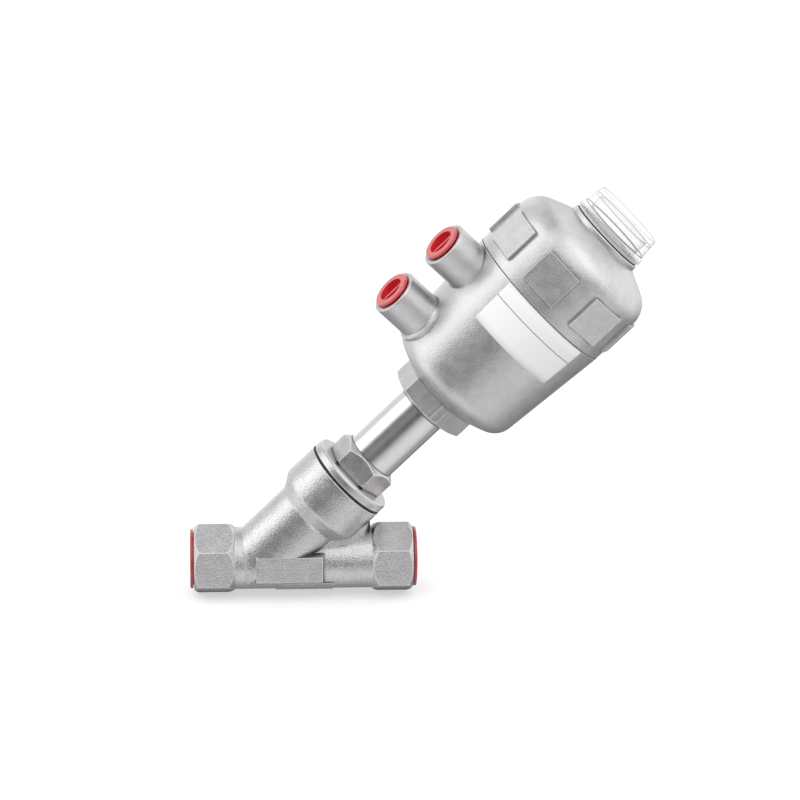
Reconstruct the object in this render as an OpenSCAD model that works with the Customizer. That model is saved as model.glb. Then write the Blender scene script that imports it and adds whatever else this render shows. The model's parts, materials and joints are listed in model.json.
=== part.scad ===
// Pneumatic angle-seat valve with a single-acting piston actuator.
// The pipe runs along X. The branch leans 45 degrees from +X to +Z.
// The origin is on the pipe axis, at the first thread of the inlet port.

/* [Pipe run] */
// Length from the inlet face to the outlet face
face_to_face = 85; // [78:1:110]
// Distance from the inlet face to the point where the branch axis meets the pipe axis
branch_offset = 26.9; // [26:0.1:31]
// Width across the flats of the pipe hexagons
pipe_hex_af = 25; // [24.6:0.1:28]
// Length of a pipe hexagon along its corners
pipe_hex_len = 11.3; // [9:0.1:12.5]
// Outer diameter of the necks between the hexagons
neck_d = 24.2; // [22.5:0.1:24.5]
// Minor diameter of the pipe thread
pipe_thread_d = 18.6; // [16:0.1:19]
// Length of the pipe thread
pipe_thread_len = 11; // [9:0.1:12]
// Diameter of the plain entry in front of the pipe thread
pipe_entry_d = 21.2; // [20.4:0.1:21.8]
// Depth of the plain entry in front of the pipe thread
pipe_entry_len = 4; // [3.5:0.1:5]
// Diameter of the flow passages
passage_d = 16; // [12:0.1:17]

/* [Branch and seat] */
// Outer diameter of the branch below the collar
branch_d = 28.6; // [27.6:0.1:30]
// Outer diameter of the collar
collar_d = 35.7; // [34.8:0.1:38]
// Height of the collar top above the pipe axis, along the branch
collar_top = 45.4; // [44.5:0.1:50]
// Height of the straight part of the collar
collar_len = 13.9; // [12:0.1:15]
// Height of the chamfer between branch and collar
collar_chamfer = 5.5; // [4.5:0.1:6]
// Height of the seat above the pipe axis, along the branch
seat_height = 12; // [11.5:0.1:13.5]
// Diameter of the seat opening
seat_d = 13; // [11:0.1:14]
// Width of the seat lip
seat_lip_w = 1.1; // [0.8:0.1:1.5]
// Height of the seat lip
seat_lip_h = 0.7; // [0.4:0.1:1]
// Diameter of the chamber above the seat
chamber_d = 23; // [21:0.1:24]

/* [Body details] */
// Distance between the two flat side pads
pad_across = 27; // [26:0.1:28]
// Length of a side pad
pad_len = 25.5; // [20:0.1:28]
// Height of a side pad
pad_h = 10.2; // [8:0.1:11]
// Draft of the side pads, from face to root
pad_draft = 1.2; // [0.5:0.1:2]
// How far the belly under the seat stands out
belly_rise = 0.35; // [0.2:0.05:0.8]
// Length of the belly under the seat
belly_len = 24.5; // [18:0.1:26]
// Half width of the web between collar and outlet at its rounded end
web_end_r = 8.3; // [7:0.1:9]
// Half width of the web between collar and outlet at its root
web_root_w = 10.4; // [9.5:0.1:11]
// Distance from the branch axis to the widest part of the web, along the pipe
web_start = 18; // [15:0.1:20]
// Distance from the inlet face to the end of the web
web_reach = 68.5; // [66:0.1:69]

/* [Bonnet and packing] */
// Thickness of the body gasket
gasket_th = 1.1; // [0.8:0.1:2]
// Diameter of the bonnet thread spigot
bonnet_thread_d = 29.4; // [28:0.1:30]
// Diameter of the bonnet flange
flange_d = 35.4; // [33:0.1:37]
// Thickness of the bonnet flange
flange_th = 3.3; // [2.5:0.1:5]
// Width across the flats of the bonnet hexagon
bonnet_hex_af = 23; // [22:0.1:26]
// Height of the bonnet hexagon
bonnet_hex_h = 9.2; // [8.6:0.1:12]
// Turn of the bonnet hexagon about the branch axis
bonnet_turn = 40.7; // [0:0.1:60]
// Length of the bonnet spigot inside the body
bonnet_spigot_len = 12; // [10:0.1:13]
// Diameter of the packing bore
packing_d = 16; // [14.6:0.1:16.4]
// Number of packing rings
packing_count = 4; // [2:1:4]
// Height of one packing ring
packing_ring_h = 1.5; // [1.2:0.1:1.5]

/* [Neck tube] */
// Outer diameter of the neck tube
tube_d = 20.8; // [20:0.1:22.4]
// Visible length of the neck tube
tube_len = 27.6; // [22:0.1:40]
// Diameter of the threaded tube ends
tube_end_d = 19; // [18.6:0.1:19.4]
// Inner diameter of the neck tube
tube_bore_d = 14; // [12.5:0.1:14.8]

/* [Stem and disc] */
// Diameter of the stem
stem_d = 10; // [9:0.1:10.4]
// Lift from closed to open
stroke = 8; // [5:0.5:8]
// Diameter of the disc holder
disc_d = 19; // [18:0.1:20]
// Thickness of the soft disc seal
seal_th = 3; // [2:0.1:4]
// Diameter of the soft disc seal
seal_d = 16.4; // [16:0.1:17]
// Height of the disc holder with its seal
disc_h = 7.5; // [6.5:0.1:8]
// Width across the flats of the disc nut
disc_nut_af = 8; // [7.5:0.1:9]

/* [Actuator housing] */
// Width across the flats of the actuator hexagon
act_hex_af = 29.4; // [28:0.1:31]
// Height of the actuator hexagon
act_hex_h = 9.8; // [8:0.1:14]
// Width of the shallow slot in one face of the actuator hexagon
slot_w = 1.3; // [0.8:0.1:2]
// Distance from the middle of that face to the slot
slot_offset = 4.8; // [2:0.1:6]
// Turn of the actuator about the branch axis, from the valve's own plane
act_turn = 9.4; // [0:0.1:60]
// Height of the lower housing, from hexagon to seam
housing_h = 61.9; // [61.6:0.1:70]
// Outer diameter of the housing at the seam
seam_d = 62.8; // [62.4:0.1:66]
// Outer diameter of the housing wall near the bottom
foot_d = 56; // [55.4:0.1:58]
// Corner radius at the bottom of the housing
foot_round = 8; // [5:0.1:9]
// Thickness of the housing floor at the cylinder
floor_th = 6.1; // [5:0.1:7]
// Bore of the piston cylinder
cylinder_d = 50; // [48:0.1:50.4]

/* [Air ports] */
// Height of the lower air port above the hexagon bottom, along the axis
port_low = 25.9; // [24.5:0.1:26.5]
// Distance between the two air ports
port_pitch = 26; // [25.5:0.1:27]
// Distance from the axis to the mouth of an air port
port_reach = 44.1; // [43.5:0.1:50]
// Outer diameter of an air port boss
boss_d = 18.7; // [17:0.1:20]
// Minor diameter of the air port thread
port_thread_d = 11.44; // [9:0.01:12]
// Length of the air port thread
port_thread_len = 8; // [7:0.1:9]
// Diameter of the plain entry in front of the air port thread
port_entry_d = 13.5; // [12.6:0.1:14]
// Depth of the plain entry in front of the air port thread
port_entry_len = 3; // [2.5:0.1:3.5]
// Diameter of the air passage behind the thread
port_hole_d = 5; // [3:0.1:5.4]

/* [Piston and spring] */
// Height of the piston bottom above the housing floor at rest
piston_gap = 13.3; // [13:0.1:13.5]
// Height of the piston
piston_h = 11; // [10:0.1:11.2]
// Width across the flats of the piston nut
piston_nut_af = 13; // [12:0.1:14]
// Diameter of the washer under the piston nut
piston_washer_d = 16; // [15:0.1:17.5]
// Wire diameter of the main spring
spring_wire = 3.6; // [2.5:0.1:4]
// Mean diameter of the main spring
spring_mean_d = 33; // [30:0.1:35]
// Number of turns of the main spring
spring_turns = 7; // [5:1:7]

/* [Upper cap] */
// Height of the straight wall and shoulder of the cap, from the seam to the cone corner
cap_wall_h = 26.1; // [25:0.1:32]
// Corner radius of the cap shoulder
cap_round = 10.5; // [7:0.1:12]
// Slope of the cap top and of the housing bottom, measured from level
cone_angle = 24; // [18:0.5:25]
// Wall thickness of the cap
cap_wall = 3.2; // [2.6:0.1:3.6]
// Number of wrench lands around the cap
land_count = 8; // [4:1:9]
// Width of a wrench land
land_w = 15.6; // [10:0.1:17]
// Length of a wrench land along the axis
land_len = 14.4; // [10:0.1:15]
// Distance from the seam to the wrench lands
land_low = 4.6; // [3:0.1:6]
// How far the middle of a land stands out
land_rise = 0.55; // [0.3:0.05:1]
// Turn of the cap about the branch axis
cap_turn = 23.6; // [0:0.1:60]

/* [Sight dome] */
// Diameter of the neck ring under the dome
ring_d = 32.6; // [31.8:0.1:35]
// Height of the neck ring
ring_h = 2.1; // [1.5:0.1:4]
// Diameter of the dome flange
dome_flange_d = 32.2; // [31.8:0.1:35]
// Thickness of the dome flange
dome_flange_th = 2.7; // [2:0.1:4]
// Diameter of the dome at its top
dome_top_d = 28.8; // [28:0.1:30.6]
// Height of the dome above its flange
dome_h = 8.2; // [7.6:0.1:12]
// Inner diameter of the dome
dome_bore_d = 24.8; // [23:0.1:25]

/* [Transport plugs] */
// Diameter of a pipe plug flange
pipe_plug_d = 23.2; // [22:0.1:24.4]
// Diameter of an air port plug flange
port_plug_d = 15.1; // [14.2:0.1:18]
// Thickness of a plug flange
plug_flange_th = 1.1; // [0.8:0.1:1.5]

/* [Hidden] */

$fn = 72;
// Small overshoot of a cut past the face it opens
cut = 1;
// Radial clearance of a running or locating fit
fit = 0.05;
// Radial clearance of screwed and loosely seated pieces
seat_gap = 0.1;
// Clearance between a plug and its port
plug_gap = 0.3;
branch_angle = 45;
hex_ratio = 1 / cos(30);

// Places along the pipe, from the origin
inlet_face = -pipe_entry_len;
outlet_face = inlet_face + face_to_face;
branch_x = inlet_face + branch_offset;
pad_start = branch_x - 2.8;
belly_start = branch_x + 3.6;
pipe_hex_r = pipe_hex_af / 2 * hex_ratio;
pipe_end_chamfer = 1.9;
pipe_hex_slope = 1.16;

// Places along the branch, from the pipe axis
chamber_floor = seat_height - seat_lip_h;
collar_low = collar_top - collar_len;
flange_low = collar_top + gasket_th;
bonnet_hex_low = flange_low + flange_th;
flange_chamfer = 1;
bonnet_top = bonnet_hex_low + bonnet_hex_h;
bonnet_low = flange_low - bonnet_spigot_len - gasket_th - 0.4;
tube_top = bonnet_top + tube_len;
act_low = tube_top;
act_hex_top = act_low + act_hex_h;
seam = act_low + housing_h;
floor_top = act_hex_top + floor_th;

// Packing, stacked up from the bottom wall of the bonnet
guide_wall = 3;
guide_flange = 1;
guide_top = bonnet_low + guide_wall + guide_flange;
tube_end_low = bonnet_top - 7.7;
gland_h = 2;
packing_top = tube_end_low - gland_h;
packing_low = packing_top - packing_count * packing_ring_h;
washer_th = 1;
packing_spring_top = packing_low - washer_th;
packing_wire = 0.9;
stem_r = stem_d / 2;
packing_r = packing_d / 2;

// Top of the neck tube, above the housing floor
swivel_washer_th = 1;
swivel_nut_h = 5.5;
tube_end_top = floor_top + swivel_washer_th + swivel_nut_h;
tube_end_r = tube_end_d / 2;
tube_bore_r = tube_bore_d / 2;
bush_r = 7.4;
bush_len = 12;

// Piston and stem
piston_low = floor_top + piston_gap;
piston_top = piston_low + piston_h;
piston_r = cylinder_d / 2 - 0.08;
piston_web_top = piston_low + 5;
stem_tail_r = 2.5;
disc_washer_th = 0.8;
disc_nut_h = 3.2;
tail_low = seat_height - disc_washer_th - disc_nut_h - 1;
stem_top_r = 4;
disc_top = seat_height + disc_h;
nut_washer_th = 1.2;
piston_nut_h = 5;
stem_top = piston_top + nut_washer_th + piston_nut_h + 0.5;
indicator_r = 5;

// Cap and dome
seam_r = seam_d / 2;
cap_r = seam_r - 0.1;
spigot_len = 6.6;
spigot_r = seam_r - 2.9;
cone_rise = tan(cone_angle);
shoulder = [cap_r, seam + cap_wall_h];
ring_r = ring_d / 2;
cone_end = shoulder.y + (cap_r - ring_r) * cone_rise;
ring_top = cone_end + ring_h;
dome_low = ring_top + 1;
dome_flange_top = dome_low + dome_flange_th;
dome_top = dome_flange_top + dome_h;
dome_ceiling = dome_top - 2.9;
dome_bore_r = dome_bore_d / 2;
dome_spigot_r = ring_r - 3.4;
dome_neck_r = dome_spigot_r - 1.9;
dome_seat = ring_top - 4.8;
spring_seat = shoulder.y - 1.2;
spring_seat_r = 20.5;
cup_th = 1.6;
indicator_top = dome_seat - 1;
indicator_h = 9;

// Moves a piece from its own upright frame to the branch axis
module on_branch(turn = 0) {
    translate([branch_x, 0, 0])
        rotate([0, branch_angle, 0])
            rotate([0, 0, turn])
                children();
}

// Moves a piece to the mouth of an air port at a height on the axis: +Z leads out of the port
module at_port(height) {
    on_branch(act_turn)
        translate([0, 0, height])
            rotate([0, -90, 0])
                children();
}

// Lays an upright piece along the pipe, with its +Z along +X
module along_pipe(x = 0) {
    translate([x, 0, 0])
        rotate([0, 90, 0])
            children();
}

function unit(v) = v / norm(v);

// Points of an arc that rounds the corner b between a and c
function rounded(a, b, c, r, n = 8) =
    let (
        u = unit(a - b),
        w = unit(c - b),
        half = acos(u * w) / 2,
        centre = b + unit(u + w) * r / sin(half),
        from = b + u * r / tan(half) - centre,
        to = b + w * r / tan(half) - centre,
        start = atan2(from.y, from.x),
        turn = atan2(from.x * to.y - from.y * to.x, from * to)
    )
    [for (i = [0:n]) centre + r * [cos(start + turn * i / n), sin(start + turn * i / n)]];

// Points of an arc about a centre
function arc(centre, r, start, end, n = 8) =
    [for (i = [0:n]) centre + r * [cos(start + (end - start) * i / n), sin(start + (end - start) * i / n)]];

// A tube, ring or washer
module ring(r_in, r_out, low, high) {
    translate([0, 0, low])
        difference() {
            cylinder(r = r_out, h = high - low);
            translate([0, 0, -cut])
                cylinder(r = r_in, h = high - low + 2 * cut);
        }
}

// An O-ring about the axis
module o_ring(r_mean, r_wire, height) {
    translate([0, 0, height])
        rotate_extrude()
            translate([r_mean, 0])
                circle(r = r_wire, $fn = 24);
}

// A hexagon with cone chamfers on top and bottom, about the axis
module hex_block(af, low, high, chamfer_low = 0, chamfer_high = 0, slope = 2) {
    r = af / 2 * hex_ratio;
    intersection() {
        translate([0, 0, low])
            cylinder(r = r, h = high - low, $fn = 6);
        rotate_extrude()
            polygon([
                [0, low], [r - chamfer_low * slope, low], [r + 0.02, low + chamfer_low + 0.02 / slope],
                [r + 0.02, high - chamfer_high - 0.02 / slope], [r - chamfer_high * slope, high], [0, high]
            ]);
    }
}

// A coil spring with closed ends: 8-sided wire swept along a helix
function coil_height(turn, turns, wire, height) =
    let (
        dead = wire * 1.04,
        open = (height - wire - 2 * dead) / (turns - 2)
    )
    turn < 1 ? turn * dead
        : turn < turns - 1 ? dead + (turn - 1) * open
        : dead + (turns - 2) * open + (turn - turns + 1) * dead;

module coil_spring(mean_r, wire, height, turns, steps = 24, sides = 8) {
    count = turns * steps;
    points = [
        for (i = [0:count])
            let (
                turn = i / steps,
                a = 360 * turn,
                z = wire / 2 + coil_height(turn, turns, wire, height)
            )
            for (k = [0:sides - 1])
                let (b = 360 * (k + 0.5) / sides, r = mean_r + wire / 2 * cos(b))
                [r * cos(a), r * sin(a), z + wire / 2 * sin(b)]
    ];
    walls = [
        for (i = [0:count - 1])
            for (k = [0:sides - 1])
                let (n = (k + 1) % sides)
                [i * sides + k, i * sides + n, (i + 1) * sides + n, (i + 1) * sides + k]
    ];
    first = [for (k = [0:sides - 1]) sides - 1 - k];
    last = [for (k = [0:sides - 1]) count * sides + k];
    polyhedron(points = points, faces = concat(walls, [first], [last]), convexity = 6);
}

// Hexagon end of the pipe run, standing on its port face
module pipe_end_solid() {
    intersection() {
        cylinder(r = pipe_hex_r, h = pipe_end_chamfer + pipe_hex_len + 6, $fn = 6);
        rotate_extrude()
            polygon([
                [0, 0], [pipe_hex_r - pipe_end_chamfer * 1.3, 0], [pipe_hex_r + 0.02, pipe_end_chamfer],
                [pipe_hex_r + 0.02, pipe_end_chamfer + pipe_hex_len],
                [neck_d / 2 - 0.3, pipe_end_chamfer + pipe_hex_len + (pipe_hex_r - neck_d / 2 + 0.32) * pipe_hex_slope],
                [0, pipe_end_chamfer + pipe_hex_len + (pipe_hex_r - neck_d / 2 + 0.32) * pipe_hex_slope]
            ]);
    }
}

// Plain entry, thread and passage of a pipe port, cut from the port face inwards
module pipe_port_cut(passage_end) {
    entry_r = pipe_entry_d / 2;
    thread_r = pipe_thread_d / 2;
    passage_r = passage_d / 2;
    thread_end = pipe_entry_len + pipe_thread_len;
    rotate_extrude()
        polygon(concat(
            [[0, -cut], [entry_r, -cut], [entry_r, pipe_entry_len], [thread_r, pipe_entry_len],
                [thread_r, thread_end], [passage_r, thread_end + (thread_r - passage_r)]],
            arc([0, passage_end], passage_r, 0, 90)
        ));
}

// The revolved outside of the branch: round foot, wall, chamfer and collar
module branch_solid() {
    r = branch_d / 2;
    wall_end = [r, collar_low - collar_chamfer];
    collar_start = [collar_d / 2, collar_low];
    blend_r = 3;
    rotate_extrude()
        polygon(concat(
            arc([0, 0], r, -90, 0, 12),
            rounded([r, 0], wall_end, collar_start, blend_r, 5),
            rounded(wall_end, collar_start, [collar_d / 2, collar_top], blend_r, 5),
            [[collar_d / 2, collar_top], [0, collar_top]]
        ));
}

// Flat side pads of the body, with drafted walls
module side_pads() {
    half = pad_across / 2;
    root = half - 4;
    z_face = pad_h / 2;
    z_root = z_face + pad_draft;
    x_face = [pad_start, pad_start + pad_len];
    x_root = x_face + pad_draft * [-1, 1];
    intersection() {
        along_pipe(x_root[0] - cut)
            linear_extrude(height = pad_len + 2 * pad_draft + 2 * cut)
                polygon([
                    [z_face, half], [z_root, root], [z_root, -root], [z_face, -half],
                    [-z_face, -half], [-z_root, -root], [-z_root, root], [-z_face, half]
                ]);
        translate([0, 0, -z_root - cut])
            linear_extrude(height = 2 * z_root + 2 * cut)
                polygon([
                    [x_face[0], half], [x_face[1], half], [x_root[1], root], [x_root[1], -root],
                    [x_face[1], -half], [x_face[0], -half], [x_root[0], -root], [x_root[0], root]
                ]);
    }
}

// The web that fills the angle between collar and outlet
module outlet_web() {
    web_x = inlet_face + web_reach - web_end_r;
    root_x = branch_x + web_start;
    intersection() {
        linear_extrude(height = collar_top)
            union() {
                polygon([[root_x, -web_root_w], [web_x, -web_end_r], [web_x, web_end_r], [root_x, web_root_w]]);
                translate([web_x, 0])
                    circle(r = web_end_r);
            }
        on_branch()
            translate([branch_d / 4, -collar_d / 2, -cut])
                cube([collar_d, collar_d, collar_top - 0.4]);
    }
}

// The belly under the seat, a shallow band around the lower half of the run
module belly() {
    half_angle = 58;
    r = neck_d / 2 + belly_rise;
    along_pipe(belly_start)
        rotate([0, 0, -half_angle])
            rotate_extrude(angle = 2 * half_angle)
                polygon([
                    [r - 3, 0], [r - 1.2, 0], [r, 1.2], [r, belly_len - 1.2],
                    [r - 1.2, belly_len], [r - 3, belly_len]
                ]);
}

// What the branch may fill: all above its own equator, and a round bottom that runs into the pipe
module branch_limits() {
    foot_r = branch_d / 2 + 0.4;
    sink = 0.3;
    foot_z = foot_r - neck_d / 2 + sink;
    translate([branch_x - branch_d, -collar_d, foot_z])
        cube([3 * collar_top, 2 * collar_d, 2 * collar_top]);
    translate([0, 0, foot_z])
        along_pipe(branch_x - branch_d)
            cylinder(r = foot_r, h = 3 * collar_top);
}

module valve_body() {
    seat_r = seat_d / 2;
    color("silver")
        difference() {
            union() {
                along_pipe(inlet_face)
                    pipe_end_solid();
                along_pipe(outlet_face)
                    mirror([0, 0, 1])
                        pipe_end_solid();
                along_pipe(inlet_face + 3)
                    cylinder(d = neck_d, h = face_to_face - 6);
                intersection() {
                    on_branch()
                        branch_solid();
                    branch_limits();
                }
                side_pads();
                outlet_web();
                belly();
            }
            // the pads stay flat where the round branch would stand over them
            for (side = [-1, 1])
                translate([pad_start, side * (pad_across + branch_d) / 2 - branch_d / 2, -pad_h / 2])
                    cube([pad_len, branch_d, pad_h]);
            // inlet, up to the foot of the seat opening
            along_pipe(inlet_face)
                pipe_port_cut(branch_offset);
            // outlet, as far as the partition allows
            intersection() {
                along_pipe(outlet_face)
                    mirror([0, 0, 1])
                        pipe_port_cut(face_to_face - branch_offset - 10);
                union() {
                    on_branch()
                        translate([-collar_d, -collar_d, chamber_floor])
                            cube([4 * collar_d, 2 * collar_d, 2 * collar_top]);
                    on_branch()
                        translate([branch_d / 2 - 3.2, -collar_d, -3 * collar_d])
                            cube([4 * collar_d, 2 * collar_d, 6 * collar_d]);
                }
            }
            // seat opening, chamber and collar thread
            on_branch()
                rotate_extrude()
                    polygon([
                        [0, 0], [seat_r, 0], [seat_r, seat_height], [seat_r + seat_lip_w, seat_height],
                        [seat_r + seat_lip_w + 0.3, chamber_floor], [chamber_d / 2, chamber_floor],
                        [chamber_d / 2, bonnet_low - 1], [bonnet_thread_d / 2 + seat_gap, bonnet_low - 1],
                        [bonnet_thread_d / 2 + seat_gap, collar_top - 0.8],
                        [bonnet_thread_d / 2 + seat_gap + 0.8 + cut, collar_top + cut], [0, collar_top + cut]
                    ]);
        }
}

module body_gasket() {
    color("black")
        on_branch()
            ring(bonnet_thread_d / 2 + 0.9, flange_d / 2 - 0.1, collar_top, flange_low);
}

module bonnet() {
    color("silver")
        on_branch(bonnet_turn)
            difference() {
                union() {
                    rotate_extrude()
                        polygon([
                            [0, bonnet_low], [bonnet_thread_d / 2 - 1.2, bonnet_low],
                            [bonnet_thread_d / 2, bonnet_low + 1.2], [bonnet_thread_d / 2, flange_low],
                            [flange_d / 2, flange_low], [flange_d / 2, bonnet_hex_low - flange_chamfer],
                            [(flange_d - flange_chamfer) / 2, bonnet_hex_low], [0, bonnet_hex_low]
                        ]);
                    hex_block(bonnet_hex_af, bonnet_hex_low - 0.6, bonnet_top, 1.4, 2, 1.15);
                }
                rotate_extrude()
                    polygon([
                        [0, bonnet_low - cut], [stem_r + 1 + fit, bonnet_low - cut],
                        [stem_r + 1 + fit, bonnet_low + guide_wall], [packing_r, bonnet_low + guide_wall],
                        [packing_r, tube_end_low], [tube_end_r + seat_gap, tube_end_low],
                        [tube_end_r + seat_gap, bonnet_top + cut], [0, bonnet_top + cut]
                    ]);
            }
}

module stem_guide() {
    color("darkgoldenrod")
        on_branch()
            rotate_extrude()
                polygon([
                    [stem_r + fit, bonnet_low], [stem_r + 1, bonnet_low],
                    [stem_r + 1, bonnet_low + guide_wall], [packing_r - fit, bonnet_low + guide_wall],
                    [packing_r - fit, guide_top], [stem_r + fit, guide_top]
                ]);
}

module packing_spring() {
    color("lightgray")
        on_branch()
            translate([0, 0, guide_top])
                coil_spring((stem_r + packing_r) / 2, packing_wire, packing_spring_top - guide_top, 4, 20, 6);
}

module packing_washer() {
    color("lightgray")
        on_branch()
            ring(stem_r + plug_gap, packing_r - fit, packing_spring_top, packing_low);
}

// Chevron rings, each with a V groove underneath and a V ridge on top
module packing_rings() {
    mid = (stem_r + packing_r) / 2;
    inner = stem_r + fit;
    outer = packing_r - fit;
    rise = 0.5;
    color("whitesmoke")
        on_branch()
            for (i = [0:packing_count - 1])
                translate([0, 0, packing_low + i * packing_ring_h])
                    rotate_extrude()
                        polygon([
                            [inner, 0], [mid, rise], [outer, 0], [outer, packing_ring_h - rise - 0.02],
                            [mid, packing_ring_h - 0.02], [inner, packing_ring_h - rise - 0.02]
                        ]);
}

module packing_gland() {
    color("darkgoldenrod")
        on_branch()
            ring(stem_r + plug_gap, packing_r - fit, packing_top, tube_end_low);
}

module neck_tube() {
    color("gainsboro")
        on_branch()
            difference() {
                rotate_extrude()
                    polygon([
                        [0, tube_end_low], [tube_end_r - 0.8, tube_end_low], [tube_end_r, tube_end_low + 0.8],
                        [tube_end_r, bonnet_top], [tube_d / 2, bonnet_top], [tube_d / 2, tube_top],
                        [tube_end_r, tube_top], [tube_end_r, tube_end_top - 0.8],
                        [tube_end_r - 0.8, tube_end_top], [0, tube_end_top]
                    ]);
                rotate_extrude()
                    polygon([
                        [0, tube_end_low - cut], [tube_bore_r, tube_end_low - cut],
                        [tube_bore_r, tube_end_top - bush_len], [bush_r + fit, tube_end_top - bush_len],
                        [bush_r + fit, tube_end_top + cut], [0, tube_end_top + cut]
                    ]);
            }
}

// Heights of the two ring seals in the rod bush
function seal_heights() = [tube_end_top - 3.2, tube_end_top - 8.8];
rod_seal_wire = 0.9;

module rod_bush() {
    groove_r = stem_r + fit + 2 * rod_seal_wire;
    color("darkgoldenrod")
        on_branch()
            difference() {
                ring(stem_r + fit, bush_r, tube_end_top - bush_len, tube_end_top);
                for (h = seal_heights())
                    ring(stem_r - cut, groove_r, h - 1.1, h + 1.1);
            }
}

module rod_seals() {
    color("dimgray")
        on_branch()
            for (h = seal_heights())
                o_ring(stem_r + fit + rod_seal_wire, rod_seal_wire, h);
}

module swivel_washer() {
    color("lightgray")
        on_branch()
            ring(tube_end_r + seat_gap, tube_end_r + 4.5, floor_top, floor_top + swivel_washer_th);
}

module swivel_nut() {
    low = floor_top + swivel_washer_th;
    color("lightgray")
        on_branch()
            difference() {
                hex_block(2 * tube_end_r + 7, low, low + swivel_nut_h, 0, 0.8);
                translate([0, 0, low - cut])
                    cylinder(r = tube_end_r + seat_gap, h = swivel_nut_h + 2 * cut);
            }
}

swivel_seal_wire = 0.9;
swivel_seal_at = (act_low + floor_top) / 2;

module swivel_seal() {
    color("dimgray")
        on_branch()
            o_ring(tube_end_r + fit + swivel_seal_wire, swivel_seal_wire, swivel_seal_at);
}

// A boss with a filleted root, from the cylinder wall out to the mouth
module port_boss() {
    r = boss_d / 2;
    root = foot_d / 2 + 0.6;
    fillet = 1.2;
    mouth_edge = 0.6;
    rotate_extrude()
        polygon(concat(
            [[0, cylinder_d / 2 + 1], [r + fillet, cylinder_d / 2 + 1]],
            arc([r + fillet, root + fillet], fillet, -90, -180, 5),
            arc([r - mouth_edge, port_reach - mouth_edge], mouth_edge, 0, 90, 4),
            [[0, port_reach]]
        ));
}

// Entry, thread and air passage of an air port, from the mouth into the cylinder
module port_cut() {
    entry_r = port_entry_d / 2;
    thread_r = port_thread_d / 2;
    hole_r = port_hole_d / 2;
    thread_top = port_reach - port_entry_len;
    thread_low = thread_top - port_thread_len;
    rotate_extrude()
        polygon([
            [0, cylinder_d / 2 - 3], [hole_r, cylinder_d / 2 - 3], [hole_r, thread_low],
            [thread_r, thread_low], [thread_r, thread_top], [entry_r, thread_top],
            [entry_r, port_reach + cut], [0, port_reach + cut]
        ]);
}

module port_pair() {
    for (height = [act_low + port_low, act_low + port_low + port_pitch])
        translate([0, 0, height])
            rotate([0, -90, 0])
                children();
}

// A shallow marking slot in the hexagon face that looks forwards, near its corner
module hex_slot() {
    depth = 0.3;
    rotate([0, 0, -120])
        translate([act_hex_af / 2 - depth, slot_offset - slot_w / 2, act_low - cut])
            cube([depth + cut, slot_w, act_hex_h + cut - 0.4]);
}

module lower_housing() {
    hex_corner = act_hex_af / 2 * hex_ratio;
    cone_start = [hex_corner + 0.3, act_hex_top];
    foot = [foot_d / 2, act_hex_top + (foot_d / 2 - cone_start.x) * cone_rise];
    rim = [seam_r, seam];
    bore_r = cylinder_d / 2;
    color("silver")
        on_branch(act_turn)
            difference() {
                union() {
                    // hexagon, with a flat towards the ports
                    rotate([0, 0, 30])
                        hex_block(act_hex_af, act_low, act_hex_top + 1, 2.4, 0, 2.9);
                    rotate_extrude()
                        polygon(concat(
                            [[0, act_hex_top], cone_start],
                            rounded(cone_start, foot, rim, foot_round),
                            [[seam_r, seam], [0, seam]]
                        ));
                    port_pair()
                        port_boss();
                }
                hex_slot();
                rotate_extrude()
                    polygon(concat(
                        [[0, act_low - cut], [tube_end_r + fit, act_low - cut], [tube_end_r + fit, floor_top]],
                        rounded([tube_end_r, floor_top], [bore_r, floor_top], [bore_r, seam], 2.5, 5),
                        [[bore_r, seam - spigot_len], [spigot_r + seat_gap, seam - spigot_len],
                            [spigot_r + seat_gap, seam + cut], [0, seam + cut]]
                    ));
                ring(tube_end_r - cut, tube_end_r + fit + 2 * swivel_seal_wire,
                    swivel_seal_at - 1.1, swivel_seal_at + 1.1);
                port_pair()
                    port_cut();
            }
}

module stem() {
    color("gainsboro")
        on_branch()
            difference() {
                rotate_extrude()
                    polygon([
                        [0, tail_low], [stem_tail_r - 0.5, tail_low], [stem_tail_r, tail_low + 0.5],
                        [stem_tail_r, disc_top], [stem_r, disc_top],
                        [stem_r, piston_low], [stem_top_r, piston_low], [stem_top_r, stem_top - 0.5],
                        [stem_top_r - 0.5, stem_top], [0, stem_top]
                    ]);
                translate([0, 0, stem_top - 8])
                    cylinder(r = 2 + fit, h = 8 + cut);
            }
}

// Disc holder: a cup that carries the soft seal
module valve_disc() {
    hub_r = stem_r + 1.5;
    cup_low = seat_height + 0.9;
    color("silver")
        on_branch()
            rotate_extrude()
                polygon([
                    [stem_tail_r + fit, seat_height + seal_th], [seal_d / 2 + fit, seat_height + seal_th],
                    [seal_d / 2 + fit, cup_low], [disc_d / 2 - 0.4, cup_low], [disc_d / 2, cup_low + 0.4],
                    [disc_d / 2, seat_height + seal_th + 1.5], [hub_r, disc_top - 1.2],
                    [hub_r, disc_top], [stem_tail_r + fit, disc_top]
                ]);
}

module disc_seal() {
    color("whitesmoke")
        on_branch()
            ring(stem_tail_r + fit, seal_d / 2, seat_height, seat_height + seal_th);
}

module disc_washer() {
    color("lightgray")
        on_branch()
            ring(stem_tail_r + fit, disc_nut_af / 2 + 1, seat_height - disc_washer_th, seat_height);
}

module disc_nut() {
    color("lightgray")
        on_branch()
            difference() {
                hex_block(disc_nut_af, seat_height - disc_nut_h - disc_washer_th, seat_height - disc_washer_th, 0.5, 0);
                translate([0, 0, seat_height - disc_nut_h - disc_washer_th - cut])
                    cylinder(r = stem_tail_r + fit, h = disc_nut_h + 2 * cut);
            }
}

piston_seal_low = piston_low + 1.6;
piston_seal_h = 3;
guide_ring_low = piston_low + 6.4;
guide_ring_h = 3;

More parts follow.
